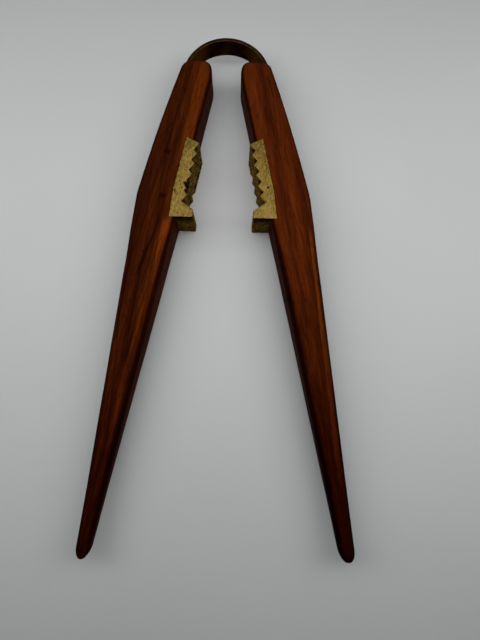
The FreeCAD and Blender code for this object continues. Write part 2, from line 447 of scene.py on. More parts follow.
        rough = add(tree, "ShaderNodeMath",
                    {"operation": "MULTIPLY_ADD", 0: fibre, 1: 0.15, 2: 0.48}).outputs[0]
        rough = add(tree, "ShaderNodeMath",
                    {"operation": "MULTIPLY_ADD", 0: pore, 1: 0.2, 2: rough}).outputs[0]
        relief = add(tree, "ShaderNodeMath",
                     {"operation": "MULTIPLY_ADD", 0: fibre, 1: -0.35, 2: pore}).outputs[0]
        return {"Base Color": colour, "Roughness": rough,
                "Normal": add(tree, "ShaderNodeBump",
                              {"invert": Relief.SUNK.value, "Strength": 1.0,
                               "Distance": self.relief_depth, "Height": relief}).outputs[0]}


@dataclass(frozen=True)
class CastBrass(Finish):
    """Brass, sand cast, its two broad faces filed flat and long since dulled.

    The filed faces are pale gold with short file marks and small casting pores. The teeth and
    the lip keep the grey-brown skin that the sand left.
    """

    bright: str = "A48C4C"
    middle: str = "8A7238"
    dull: str = "694F24"
    pit: str = "2A1C08"
    skin_pale: str = "B09660"
    skin: str = "7A6336"
    skin_dark: str = "2C200C"
    sheen: str = "C4AC7C"
    mark_width: float = 0.38 * MM
    mark_length: float = 1.2 * MM
    stain_width: float = 4 * MM     # dulled patches on the filed faces
    stain_length: float = 5 * MM
    skin_grain: float = 1.3 * MM    # size of the sand's print on the cast skin
    pit_width: float = 0.9 * MM
    grit_depth: float = 0.05 * MM
    shade_from_z: float = 10 * MM        # painted shade is faint below this and deepest at the front
    front_z: float = 17 * MM
    flaws: tuple[Streak, ...] = ()  # larger holes and cracks in the casting
    painted_shade: tuple[Streak, ...] = ()  # painted shade on the cast skin, along the roots and under the foot

    @property
    def shader(self) -> dict:
        """Bare metal, its edge reflections browned by the tarnish."""
        return {"Metallic": 1.0, "Specular Tint": linear(self.sheen)}

    def surface(self, tree: bpy.types.NodeTree, place: bpy.types.NodeSocket) -> dict:
        """Adds the filed faces, the cast skin and the pores in both."""
        mark = pattern(tree, place, self.mark_width, self.mark_length, 3.0, 0.3)
        cloud = pattern(tree, place, self.stain_width, self.stain_length, 2.0, 0.0, 4.0)
        tone_share = add(tree, "ShaderNodeMath",
                   {"operation": "MULTIPLY_ADD", 0: cloud, 1: 0.25, 2: mark}).outputs[0]
        filed = add(tree, "ShaderNodeValToRGB",
                    {"stops": ((0.42, self.dull), (0.6, self.middle), (0.8, self.bright)),
                     "Fac": tone_share})
        hole = pattern(tree, place, self.pit_width, self.pit_width, 1.0, 0.0, 7.0)
        pitted = add(tree, "ShaderNodeMapRange",
                     {"interpolation_type": "SMOOTHSTEP", 0: hole, 1: 0.66, 2: 0.73}).outputs[0]
        filed_colour = add(tree, "ShaderNodeMix",
                           {"data_type": "RGBA", 0: pitted, 6: filed.outputs[0],
                            7: self.pit}).outputs[2]

        sand = pattern(tree, place, self.skin_grain, self.skin_grain, 5.0, 0.4, 2.0)
        cast = add(tree, "ShaderNodeValToRGB",
                   {"stops": ((0.34, self.skin_dark), (0.52, self.skin), (0.72, self.skin_pale)),
                    "Fac": sand})

        cast_colour = cast.outputs[0]
        height = add(tree, "ShaderNodeSeparateXYZ", {0: place})
        near_front = add(tree, "ShaderNodeMapRange",
                         {"interpolation_type": "SMOOTHSTEP", 0: height.outputs[2],
                          1: self.shade_from_z, 2: self.front_z, 3: 0.3, 4: 1.0}).outputs[0]
        # Painted shade along the roots of the teeth and under the foot, deepest near the front
        # face.
        for shade_mark in self.painted_shade:
            share = add(tree, "ShaderNodeMath",
                        {"operation": "MULTIPLY", 0: shade_mark.mask(tree, place, sand),
                         1: near_front}).outputs[0]
            cast_colour = add(tree, "ShaderNodeMix",
                              {"data_type": "RGBA", 0: share, 6: cast_colour,
                               7: shade_mark.colour}).outputs[2]

        flat = add(tree, "ShaderNodeMapRange",
                   {"interpolation_type": "SMOOTHSTEP", 0: levelness(tree), 1: 0.55,
                    2: 0.9}).outputs[0]
        colour = add(tree, "ShaderNodeMix",
                     {"data_type": "RGBA", 0: flat, 6: cast_colour, 7: filed_colour}).outputs[2]
        filed_rough = add(tree, "ShaderNodeMath",
                          {"operation": "MULTIPLY_ADD", 0: mark, 1: 0.12, 2: 0.62}).outputs[0]
        cast_rough = add(tree, "ShaderNodeMath",
                         {"operation": "MULTIPLY_ADD", 0: sand, 1: 0.2, 2: 0.55}).outputs[0]
        rough = add(tree, "ShaderNodeMix",
                    {"data_type": "FLOAT", 0: flat, 2: cast_rough, 3: filed_rough}).outputs[0]
        grit = add(tree, "ShaderNodeMath",
                   {"operation": "MULTIPLY_ADD", 0: sand, 1: 2.0, 2: mark}).outputs[0]
        for flaw in self.flaws:
            hollow = flaw.mask(tree, place, mark)
            colour = add(tree, "ShaderNodeMix",
                         {"data_type": "RGBA", 0: hollow, 6: colour, 7: flaw.colour}).outputs[2]
            grit = add(tree, "ShaderNodeMath",
                       {"operation": "MULTIPLY_ADD", 0: hollow, 1: -6.0, 2: grit}).outputs[0]
        return {"Base Color": colour, "Roughness": rough,
                "Normal": add(tree, "ShaderNodeBump",
                              {"invert": Relief.RAISED.value, "Strength": 1.0,
                               "Distance": self.grit_depth, "Height": grit}).outputs[0]}


@dataclass(frozen=True)
class RolledSpringBrass(Finish):
    """Spring brass strip, cold rolled and sheared, then left to tarnish.

    The broad faces have gone dark brown; the sheared edges are rubbed back to dull gold.
    """

    tarnish_pale: str = "3E2C14"
    tarnish: str = "34220C"
    deep: str = "1C0F04"
    pale_near_levers: str = "6A4E26"       # the broad faces turn paler towards the levers
    pale_edge: str = "4E3B20"
    edge_dull: str = "2E2110"
    sheen: str = "8E6C40"
    blotch: float = 5 * MM
    rub_grain: float = 0.6 * MM
    spot_width: float = 1.1 * MM
    paling_x: tuple[float, float] = (6 * MM, 13 * MM)     # from the middle, where the paling begins
    paling_share: float = 0.75                            # and how much it shows at its most
    rub_depth: float = 0.012 * MM

    @property
    def shader(self) -> dict:
        """Bare metal under brown tarnish, which tints even its edge reflections."""
        return {"Metallic": 1.0, "Specular Tint": linear(self.sheen)}

    def surface(self, tree: bpy.types.NodeTree, place: bpy.types.NodeSocket) -> dict:
        """Adds the tarnished faces, the rubbed edges and dark spots."""
        blotch = pattern(tree, place, self.blotch, self.blotch, 4.0, 0.6)
        face = add(tree, "ShaderNodeValToRGB",
                   {"stops": ((0.35, self.deep), (0.6, self.tarnish), (0.8, self.tarnish_pale)),
                    "Fac": blotch})
        parts = add(tree, "ShaderNodeSeparateXYZ", {0: place})
        outward = add(tree, "ShaderNodeMath",
                      {"operation": "ABSOLUTE", 0: parts.outputs[0]}).outputs[0]
        tone_share = add(tree, "ShaderNodeMapRange",
                   {"interpolation_type": "SMOOTHSTEP", 0: outward, 1: self.paling_x[0],
                    2: self.paling_x[1], 3: 0.0, 4: self.paling_share}).outputs[0]
        face_colour = add(tree, "ShaderNodeMix",
                          {"data_type": "RGBA", 0: tone_share, 6: face.outputs[0],
                           7: self.pale_near_levers}).outputs[2]
        rub = pattern(tree, place, self.rub_grain, self.rub_grain, 3.0, 0.0, 3.0)
        edge = add(tree, "ShaderNodeValToRGB",
                   {"stops": ((0.35, self.edge_dull), (0.65, self.pale_edge)), "Fac": rub})
        sheared = add(tree, "ShaderNodeMapRange",
                      {"interpolation_type": "SMOOTHSTEP", 0: levelness(tree), 1: 0.35,
                       2: 0.85}).outputs[0]
        colour = add(tree, "ShaderNodeMix",
                     {"data_type": "RGBA", 0: sheared, 6: face_colour,
                      7: edge.outputs[0]}).outputs[2]
        spot = pattern(tree, place, self.spot_width, self.spot_width, 1.0, 0.0, 6.0)
        colour = add(tree, "ShaderNodeMix",
                     {"data_type": "RGBA",
                      0: add(tree, "ShaderNodeMapRange",
                             {"interpolation_type": "SMOOTHSTEP", 0: spot, 1: 0.68,
                              2: 0.74}).outputs[0], 6: colour, 7: self.deep}).outputs[2]
        rough = add(tree, "ShaderNodeMath",
                    {"operation": "MULTIPLY_ADD", 0: blotch, 1: 0.3, 2: 0.32}).outputs[0]
        return {"Base Color": colour, "Roughness": rough,
                "Normal": add(tree, "ShaderNodeBump",
                              {"invert": Relief.RAISED.value, "Strength": 1.0,
                               "Distance": self.rub_depth, "Height": rub}).outputs[0]}


@dataclass(frozen=True)
class PeenedBrassPin(Finish):
    """Drawn brass wire, driven through and filed off flush: fine crossing scratches."""

    bright: str = "C9AC66"
    dull: str = "7A6232"

    @property
    def shader(self) -> dict:
        """Bare metal."""
        return {"Metallic": 1.0}

    def surface(self, tree: bpy.types.NodeTree, place: bpy.types.NodeSocket) -> dict:
        """Adds scratches and a dull ring of dirt."""
        scratch = pattern(tree, place, 0.12 * MM, 1.2 * MM, 2.0)
        stain = pattern(tree, place, 0.8 * MM, 0.8 * MM, 3.0, 0.0, 2.0)
        tone = add(tree, "ShaderNodeValToRGB",
                   {"stops": ((0.35, self.dull), (0.65, self.bright)), "Fac": stain})
        rough = add(tree, "ShaderNodeMath",
                    {"operation": "MULTIPLY_ADD", 0: scratch, 1: 0.3, 2: 0.25}).outputs[0]
        return {"Base Color": tone.outputs[0], "Roughness": rough,
                "Normal": add(tree, "ShaderNodeBump",
                              {"invert": Relief.RAISED.value, "Strength": 1.0,
                               "Distance": 0.008 * MM, "Height": scratch}).outputs[0]}


@dataclass(frozen=True)
class GroundSteelDowel(Finish):
    """Steel dowel pin, hardened and centreless ground: fine rings round a grey pin."""

    bright: str = "B4B4B2"
    dull: str = "7C7A76"

    @property
    def shader(self) -> dict:
        """Bare metal."""
        return {"Metallic": 1.0}

    def surface(self, tree: bpy.types.NodeTree, place: bpy.types.NodeSocket) -> dict:
        """Adds grinding rings and a light film of oil."""
        ring = pattern(tree, place, 0.15 * MM, 2.0 * MM, 2.0)
        film = pattern(tree, place, 2.0 * MM, 2.0 * MM, 2.0, 0.0, 3.0)
        tone = add(tree, "ShaderNodeValToRGB",
                   {"stops": ((0.35, self.dull), (0.65, self.bright)), "Fac": film})
        rough = add(tree, "ShaderNodeMath",
                    {"operation": "MULTIPLY_ADD", 0: ring, 1: 0.2, 2: 0.2}).outputs[0]
        return {"Base Color": tone.outputs[0], "Roughness": rough,
                "Normal": add(tree, "ShaderNodeBump",
                              {"invert": Relief.RAISED.value, "Strength": 1.0,
                               "Distance": 0.004 * MM, "Height": ring}).outputs[0]}


@dataclass(frozen=True)
class MattLaminate(Finish):
    """Pale grey table laminate, pressed matt: almost even, with a faint mottle."""

    light: str = "CCCECE"
    dark: str = "CACCCC"

    @property
    def shader(self) -> dict:
        """Matt and nearly without gloss."""
        return {"Roughness": 0.75, "Specular IOR Level": 0.2}

    def surface(self, tree: bpy.types.NodeTree, place: bpy.types.NodeSocket) -> dict:
        """Adds the mottle and a very fine tooth."""
        mottle = pattern(tree, place, 60 * MM, 60 * MM, 3.0)
        tone = add(tree, "ShaderNodeValToRGB",
                   {"stops": ((0.35, self.dark), (0.65, self.light)), "Fac": mottle})
        tooth = pattern(tree, place, 0.7 * MM, 0.7 * MM, 2.0)
        return {"Base Color": tone.outputs[0],
                "Normal": add(tree, "ShaderNodeBump",
                              {"invert": Relief.RAISED.value, "Strength": 1.0,
                               "Distance": 0.01 * MM, "Height": tooth}).outputs[0]}


# -------------------------------------------------------------------------------- mesh helpers
def mesh_piece(name: str, vertices: np.ndarray, faces: list[tuple[int, ...]],
               sharp_angle: float = math.radians(32)) -> bpy.types.Object:
    """Makes an object from vertices and faces, with outward faces and smooth shading.

    Args:
        name: the object's name.
        vertices: points in metres, one row each.
        faces: vertex numbers of each face.
        sharp_angle: edges that turn more than this stay sharp, radians.

    Returns:
        The object, linked to the scene.
    """
    mesh = bpy.data.meshes.new(name)
    mesh.from_pydata([tuple(map(float, v)) for v in vertices], [], faces)
    worked = bmesh.new()
    worked.from_mesh(mesh)
    bmesh.ops.recalc_face_normals(worked, faces=worked.faces)
    worked.to_mesh(mesh)
    worked.free()
    piece = bpy.data.objects.new(name, mesh)
    bpy.context.scene.collection.objects.link(piece)
    smooth(piece, sharp_angle)
    return piece


def smooth(piece: bpy.types.Object, sharp_angle: float) -> None:
    """Shades a piece smooth, apart from edges that turn more than an angle.

    Args:
        piece: the object.
        sharp_angle: the angle, radians.
    """
    piece.data.shade_smooth()
    piece.data.set_sharp_from_angle(angle=sharp_angle)


def tube_faces(rings: int, around: int) -> list[tuple[int, ...]]:
    """Faces of a closed tube of rings, with a cap at each end.

    Args:
        rings: how many rings.
        around: how many points in each.

    Returns:
        Quads between the rings, and one face across each end.
    """
    faces = []
    for ring in range(rings - 1):
        for point in range(around):
            after = (point + 1) % around
            start, end = ring * around, (ring + 1) * around
            faces.append((start + point, start + after, end + after, end + point))
    faces.append(tuple(range(around))[::-1])
    faces.append(tuple(range((rings - 1) * around, rings * around)))
    return faces


def cut(piece: bpy.types.Object, cutters: list[bpy.types.Object]) -> None:
    """Cuts solids out of a piece and removes them.

    Args:
        piece: the object that is cut.
        cutters: the solids.
    """
    for cutter in cutters:
        step = piece.modifiers.new("cut", "BOOLEAN")
        step.operation = "DIFFERENCE"
        step.solver = "EXACT"
        step.object = cutter
    graph = bpy.context.evaluated_depsgraph_get()
    result = bpy.data.meshes.new_from_object(piece.evaluated_get(graph))
    piece.modifiers.clear()
    piece.data = result
    for cutter in cutters:
        bpy.data.objects.remove(cutter)


def mirrored(points: np.ndarray, side: Side) -> np.ndarray:
    """Points of the right lever, mirrored in X where the piece is on the left one."""
    return points * np.array([side.value, 1.0, 1.0])


def smoothstep(share: np.ndarray) -> np.ndarray:
    """Eases a share in and out, and holds it between 0 and 1."""
    held = np.clip(share, 0, 1)
    return held * held * (3 - 2 * held)


def ripple(point: np.ndarray, size: float) -> float:
    """Smooth noise of one feature size at a point, -1 to 1."""
    return noise.noise(Vector(point / size))


# ------------------------------------------------------------------------------ sub-assemblies
@dataclass
class Datum:
    """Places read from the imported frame, for the right lever."""

    crown_y: float = 0.0
    tip_y: float = 0.0
    end_y: float = 0.0
    thickness: float = 0.0
    jaw_low: Vector = field(default_factory=Vector)
    jaw_high: Vector = field(default_factory=Vector)
    band_low: Vector = field(default_factory=Vector)
    band_high: Vector = field(default_factory=Vector)
    pin_low: Vector = field(default_factory=Vector)
    pin_high: Vector = field(default_factory=Vector)

    @classmethod
    def from_frame(cls) -> "Datum":
        """Reads the boxes of the right lever's nodes and of the band."""
        handle_low, handle_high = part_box("right_handle")
        jaw_low, jaw_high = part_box("right_jaw")
        band_low, band_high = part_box("spring_band")
        pin_low, pin_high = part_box("right_spring_pin")
        return cls(crown_y=band_high.y, tip_y=handle_low.y, end_y=handle_high.y,
                   thickness=handle_high.z, jaw_low=jaw_low, jaw_high=jaw_high,
                   band_low=band_low, band_high=band_high, pin_low=pin_low, pin_high=pin_high)


@dataclass
class SpringBand:
    """The bent strip between the levers: bow, shoulders and the tails inside the wood."""

    datum: Datum
    thickness: float = 1.4 * MM
    bow_radius: float = 17.7 * MM
    bow_half_angle: float = math.radians(62)
    shoulder_radius: float = 8 * MM
    edge_round: float = 0.28 * MM
    mouth: tuple[float, float] = (15.8 * MM, 88.5 * MM)     # where the right half enters the wood

    @property
    def middle_z(self) -> float:
        """Height of the middle of the strip."""
        return (self.datum.band_low.z + self.datum.band_high.z) / 2

    @property
    def width(self) -> float:
        """Width of the strip, front to back."""
        return self.datum.band_high.z - self.datum.band_low.z

    def route(self, start: float = 0.0, past: float = 0.0) -> tuple[np.ndarray, np.ndarray]:
        """Middle line of the right half, from the crown to the end of the tail.

        Args:
            start: angle on the bow where the line starts, radians.
            past: how far the tail runs on past its end.

        Returns:
            Points (x, y) and the outward normal at each.
        """
        centre_y = self.datum.crown_y - self.bow_radius
        radius = self.bow_radius - self.thickness / 2
        turn = self.bow_half_angle
        bow_angles = np.append([start, start + 0.0008], np.linspace(start + 0.03, turn, 42))
        bow = np.stack([radius * np.sin(bow_angles), centre_y + radius * np.cos(bow_angles)], -1)
        bend_angles = np.linspace(turn, math.pi / 2, 14)[1:]
        bend_x = (radius - self.shoulder_radius) * math.sin(turn)
        bend_y = centre_y + (radius - self.shoulder_radius) * math.cos(turn)
        bend = np.stack([bend_x + self.shoulder_radius * np.sin(bend_angles),
                         bend_y + self.shoulder_radius * np.cos(bend_angles)], -1)
        angles = np.concatenate([bow_angles, bend_angles])
        tail_y = np.linspace(bend[-1][1], self.datum.band_low.y - past, 9)[1:]
        tail = np.stack([np.full(len(tail_y), bend[-1][0]), tail_y], -1)
        angles = np.append(angles, np.full(len(tail_y), math.pi / 2))
        return np.concatenate([bow, bend, tail]), np.stack([np.sin(angles), np.cos(angles)], -1)

    def strip(self, name: str, side: Side, grow: float = 0.0, start: float = 0.0
              ) -> bpy.types.Object:
        """Sweeps the strip's rounded section along one half of the route.

        Args:
            name: the object's name.
            side: which half.
            grow: added all round, for cutting the slot that the tail sits in.
            start: angle on the bow where the strip starts, radians.

        Returns:
            The closed strip.
        """
        middle, outward = self.route(start, grow)
        half_thick = self.thickness / 2 + grow
        half_wide = self.width / 2 + grow
        corner = self.edge_round
        section = []
        for sign_t, sign_w, first in CORNERS:
            for turn in range(0, 91, 18):
                angle = math.radians(first + turn)
                section.append((sign_t * (half_thick - corner) + corner * math.cos(angle),
                                sign_w * (half_wide - corner) + corner * math.sin(angle)))
        section = np.array(section)
        rings = []
        for point, normal in zip(middle, outward):
            ring = np.zeros((len(section), 3))
            ring[:, :2] = point + section[:, :1] * normal
            ring[:, 2] = self.middle_z + section[:, 1]
            rings.append(ring)
        vertices = mirrored(np.concatenate(rings), side)
        return mesh_piece(name, vertices, tube_faces(len(rings), len(section)))

    def build(self, finish: Finish) -> list[bpy.types.Object]:
        """Makes both halves, each curving from the crown to its lever.

        Args:
            finish: the band's finish.

        Returns:
            The two half bands.
        """
        material = finish.material("spring_brass_rolled")
        halves = []
        for side in Side:
            half = self.strip(f"spring_band_{side.name.lower()}", side)
            half.data.materials.append(material)
            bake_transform(half)
            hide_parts("spring_band")
            halves.append(half)
        return halves


@dataclass
class Handle:
    """One hardwood lever: straight inner edge, soft elbow outside, faces tapered to the tip."""

    side: Side
    datum: Datum
    inner_edge_x: float = 23.3 * MM
    inner_slope: float = math.tan(math.radians(12.2))
    outer_edge_x: float = 37.4 * MM
    outer_slope: float = math.tan(math.radians(7.55))
    elbow_y: float = 33.5 * MM
    upper_slope: float = math.tan(math.radians(13.8))
    upper_bow: float = 2.7 * MM
    elbow_blend: float = 5 * MM
    end_round: float = 4 * MM
    corner_reach: float = 5.6 * MM
    corner_run: float = 9.5 * MM
    edge_round: float = 2.0 * MM
    grip_round: float = 3.7 * MM
    grip_start_y: float = 24.0 * MM
    grip_full_y: float = 6.0 * MM
    taper_start_y: float = 0.0
    tip_thickness: float = 7.0 * MM
    tip_reach: float = 2.35 * MM
    tip_run: float = 4.6 * MM
    tip_slimmed: float = 0.0        # taken off the inner edge at the tip
    station_step: float = 1.5 * MM
    corner_points: int = 9
    side_points: int = 7
    unevenness: float = 0.10 * MM   # how far hand sanding has wandered
    slot_gap: float = 0.12 * MM     # open joint round the band's tail
    slot_from: float = math.radians(40)     # angle on the bow that the slot's cutter starts at
    sharp_angle: float = math.radians(32)

    def taper(self, y: np.ndarray) -> np.ndarray:
        """How far down the taper these heights are, 0 to 1 at the tip."""
        return np.clip((self.taper_start_y - y) / (self.taper_start_y - self.datum.tip_y), 0, 1)

    def inner_x(self, y: np.ndarray) -> np.ndarray:
        """Inner edge of the lever at these heights."""
        return self.inner_edge_x - self.inner_slope * y + self.tip_slimmed * self.taper(y)

    def outer_x(self, y: np.ndarray) -> np.ndarray:
        """Outer edge: straight, a soft elbow, then a gently bowed slope."""
        below = self.outer_edge_x - self.outer_slope * y
        elbow_x = self.outer_edge_x - self.outer_slope * self.elbow_y
        rise = (y - self.elbow_y) / (self.datum.end_y - self.elbow_y)
        above = (elbow_x - self.upper_slope * (y - self.elbow_y)
                 - self.upper_bow * rise * np.abs(rise))
        share = smoothstep((y - self.elbow_y + self.elbow_blend) / (2 * self.elbow_blend))
        return below * (1 - share) + above * share

    def rounding(self, y: np.ndarray) -> np.ndarray:
        """Radius of the long edges: small beside the jaw, larger along the grip."""
        share = smoothstep((self.grip_start_y - y) / (self.grip_start_y - self.grip_full_y))
        return self.edge_round + (self.grip_round - self.edge_round) * share

    @staticmethod
    def inset(distance: np.ndarray, run: float, reach: float) -> np.ndarray:
        """How far an oval end has drawn in at these distances from its outermost point."""
        inside = np.clip(1 - distance / run, 0, 1)
        return reach * (1 - np.sqrt(1 - inside * inside))

    def stations(self) -> np.ndarray:
        """Heights of the sections, closer together where the ends are rounded off."""
        turns = np.linspace(math.pi / 2, 0, 14)
        tip = self.datum.tip_y + self.tip_run * (1 - np.sin(turns))
        end = self.datum.end_y - self.corner_run * (1 - np.sin(turns[::-1]))
        count = int((end[0] - tip[-1]) / self.station_step)
        return np.concatenate([tip, np.linspace(tip[-1], end[0], count)[1:-1], end])

    def blank(self) -> bpy.types.Object:
        """The lever before anything is cut in it."""
        y = self.stations()
        taper = self.taper(y)
        tip_inset = self.inset(y - self.datum.tip_y, self.tip_run, self.tip_reach)
        end_inset = self.inset(self.datum.end_y - y, self.end_round, self.end_round)
        corner_inset = self.inset(self.datum.end_y - y, self.corner_run, self.corner_reach)
        low = self.inner_x(y) + corner_inset + tip_inset
        high = self.outer_x(y) - end_inset - tip_inset
        thickness = self.datum.thickness + (self.tip_thickness - self.datum.thickness) * taper
        half = thickness / 2 - end_inset - tip_inset
        radius = self.rounding(y) * (1 - taper) + self.tip_thickness / 2 * taper
        radius = radius + 0.4 * (end_inset + tip_inset)
        radius = np.minimum(radius, np.minimum(0.98 * half, 0.49 * (high - low)))

        corners = []
        for sign_x, sign_z, first in CORNERS:
            angles = np.radians(first + np.linspace(0, 90, self.corner_points))
            centre_x = (high - radius if sign_x > 0 else low + radius)[:, None]
            centre_z = (sign_z * (half - radius))[:, None]
            x = centre_x + radius[:, None] * np.cos(angles)
            z = centre_z + radius[:, None] * np.sin(angles)
            corners.append(np.stack([x, z], -1))
        shares = np.linspace(0, 1, self.side_points + 2)[1:-1, None]
        outline = []
        for corner, following in zip(corners, corners[1:] + corners[:1]):
            outline.append(corner)
            start, end = corner[:, -1:, :], following[:, :1, :]
            outline.append(start + shares * (end - start))
        outline = np.concatenate(outline, axis=1)
        around = outline.shape[1]
        vertices = np.zeros((len(y), around, 3))
        vertices[..., 0] = outline[..., 0]
        vertices[..., 1] = y[:, None]
        vertices[..., 2] = self.datum.thickness / 2 + outline[..., 1]
        axis = np.stack([(low + high) / 2, y, np.full(len(y), self.datum.thickness / 2)], -1)
        flat = vertices.reshape(-1, 3)
        centres = np.repeat(axis, around, axis=0)
        self.wander(flat, centres)
        return mesh_piece(self.side.node("handle_wood"), mirrored(flat, self.side),
                          tube_faces(len(y), around))

    def wander(self, vertices: np.ndarray, centres: np.ndarray) -> None:
        """Draws the surface in by a slow, uneven amount, as hand sanding leaves it.

        Args:
            vertices: the points, changed in place.
            centres: the lever's axis beside each point.
        """
        for index, (point, centre) in enumerate(zip(vertices, centres)):
            stretched = point * np.array([1.0, 0.35, 1.0]) + self.side.value * 0.5
            depth = 0.5 + 0.5 * ripple(stretched, 7 * MM)
            inward = centre - point
            length = np.linalg.norm(inward)
            if length > 1e-9:
                vertices[index] = point + inward / length * depth * self.unevenness

    def build(self, jaw: "Jaw", band: SpringBand, finish: Finish) -> bpy.types.Object:
        """Cuts the notch and the slot in the blank and dresses it.

        Args:
            jaw: the jaw that beds in the notch.
            band: the band whose tail sits in the slot.
            finish: the wood's finish.

        Returns:
            The lever.
        """
        wood = self.blank()
        notch = jaw.notch_cutter()
        slot = band.strip("slot", self.side, grow=self.slot_gap, start=self.slot_from)
        cut(wood, [notch, slot])
        smooth(wood, self.sharp_angle)
        wood.data.materials.clear()
        wood.data.materials.append(finish.material(self.side.node("rosewood_oiled")))
        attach(wood, self.side.body)
        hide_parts(self.side.node("handle"))
        return wood


@dataclass(frozen=True)
class Break:
    """Where the casting is broken or blunt: metal is missing round one point of the outline."""

    tooth: float                    # crest number, counted from the spring
    depth_z: float                  # how far down from the front face it reaches
    radius: float
    bite: float


@dataclass
class Jaw:
    """One cast jaw: six raked teeth and a hooked lip, full thickness of the lever."""

    side: Side
    datum: Datum
    breaks: tuple[Break, ...] = ()
    top_x: float = 14.7 * MM
    kink_x: float = 19.25 * MM
    kink_y: float = 34.5 * MM
    first_crest_y: float = 53.4 * MM
    tooth_lean: float = math.radians(11.5)
    tooth_count: int = 6
    tooth_pitch: float = 4.2 * MM
    tooth_depth: float = 1.55 * MM
    root_share: float = 0.69
    lip_tip_x: float = 11.2 * MM
    lip_height: float = 2.9 * MM
    lip_lean: float = 0.2 * MM
    tooth_round: float = 0.22 * MM
    corner_round: float = 0.35 * MM
    face_bevel: float = 0.16 * MM
    outline_step: float = 0.38 * MM
    wall_step: float = 0.42 * MM
    skin_depth: float = 0.16 * MM   # how rough the sand left the sides
    seam: float = 0.07 * MM         # open joint between brass and wood

    def along(self, reach: float, depth: float = 0.0) -> tuple[float, float]:
        """Point on the toothed side, by distance down the crests and depth into the jaw."""
        lean = self.tooth_lean
        x = self.datum.jaw_low.x + reach * math.sin(lean) + depth * math.cos(lean)
        y = self.first_crest_y - reach * math.cos(lean) + depth * math.sin(lean)
        return x, y

    def back(self) -> list[tuple[float, float]]:
        """Back outline, bedded in the wood, from top to foot."""
        return [(self.top_x, self.datum.jaw_high.y), (self.kink_x, self.kink_y),
                (self.datum.jaw_high.x, self.datum.jaw_low.y)]

    def corners(self) -> list[tuple[float, float, float]]:
        """Corners of the outline as x, y and how far each is rounded, all the way round."""
        points = [(x, y, self.corner_round) for x, y in self.back()]
        foot_y = self.datum.jaw_low.y
        points.append((self.lip_tip_x + self.lip_lean, foot_y, self.corner_round))
        points.append((self.lip_tip_x, foot_y + self.lip_height, self.corner_round))
        for tooth in reversed(range(self.tooth_count)):
            reach = tooth * self.tooth_pitch
            root = self.along(reach + self.root_share * self.tooth_pitch, self.tooth_depth)
            points.append((*root, self.tooth_round))
            points.append((*self.along(reach), self.tooth_round))
        return points

    def outline(self) -> np.ndarray:
        """The rounded outline, sampled evenly enough to carry the cast skin.

        Returns:
            Points (x, y) in order round the jaw.
        """
        corners = self.corners()
        count = len(corners)
        rounded = []
        for index, (x, y, radius) in enumerate(corners):
            here = np.array([x, y])
            before = np.array(corners[index - 1][:2])
            after = np.array(corners[(index + 1) % count][:2])
            to_before, to_after = before - here, after - here
            reach_before = min(radius, 0.3 * np.linalg.norm(to_before))
            reach_after = min(radius, 0.3 * np.linalg.norm(to_after))
            start = here + to_before / np.linalg.norm(to_before) * reach_before
            end = here + to_after / np.linalg.norm(to_after) * reach_after
            for share in np.linspace(0, 1, 5):
                rounded.append((1 - share) ** 2 * start + 2 * share * (1 - share) * here
                               + share ** 2 * end)
        points = []
        for here, after in zip(rounded, rounded[1:] + rounded[:1]):
            steps = max(1, round(np.linalg.norm(after - here) / self.outline_step))
            points += [here + (after - here) * step / steps for step in range(steps)]
        return np.array(points)

    def painted_shade(self) -> tuple[Streak, ...]:
        """Where shade is painted: along the roots of the teeth and under the foot.

        Returns:
            One streak along the roots and one along the foot, on this jaw's side.
        """
        sign = self.side.value
        past = self.tooth_count * self.tooth_pitch
        (x0, y0), (x1, y1) = self.along(-1 * MM, 1.75 * MM), self.along(past, 1.75 * MM)
        foot_y = self.datum.jaw_low.y
        roots = Streak((sign * x0, y0), (sign * x1, y1), (1.7 * MM, 1.7 * MM), "120B03", 0.9)
        foot = Streak((sign * (self.lip_tip_x - 2 * MM), foot_y),
                      (sign * (self.datum.jaw_high.x + 4 * MM), foot_y),
                      (0.7 * MM, 0.7 * MM), "140C03", 0.95)
        return roots, foot

    def notch_cutter(self) -> bpy.types.Object:
        """Solid that cuts the notch for this jaw, open towards the other lever."""
        top, kink, foot = self.back()
        gap = self.seam
        shoulder = self.along(0.0)
        points = [(top[0] + 0.6 * gap, top[1] + gap), (kink[0] + gap, kink[1]),
                  (foot[0] + gap, foot[1] - gap), (0.0, foot[1] - gap),
                  (0.0, shoulder[1] + gap), (shoulder[0], shoulder[1] + gap)]
        count = len(points)
        rings = []
        for z in (-self.datum.thickness, 2 * self.datum.thickness):
            rings += [(x, y, z) for x, y in points]
        vertices = mirrored(np.array(rings), self.side)
        return mesh_piece("notch", vertices, tube_faces(2, count))

    def skin(self, point: np.ndarray, outward: np.ndarray) -> np.ndarray:
        """Moves one point of the sides to its place on the rough casting.

        Args:
            point: the point on the smooth jaw.
            outward: the outline's normal there.

        Returns:
            The point on the casting.
        """
        rough = 0.6 * ripple(point + self.side.value, 1.5 * MM) + 0.4 * ripple(point, 0.7 * MM)
        moved = point - outward * max(self.skin_depth * (0.5 + rough), 0.0)
        into = np.array([math.cos(self.tooth_lean), math.sin(self.tooth_lean), 0.0])
        for fault in self.breaks:
            x, y = self.along(fault.tooth * self.tooth_pitch)
            centre = np.array([x, y, self.datum.thickness])
            gone = (point - centre) / np.array([fault.radius, fault.radius, fault.depth_z])
            left = max(0.0, 1 - float(gone @ gone))
            moved = moved + into * fault.bite * left * (1 + 0.35 * ripple(point, 0.6 * MM))
        return moved

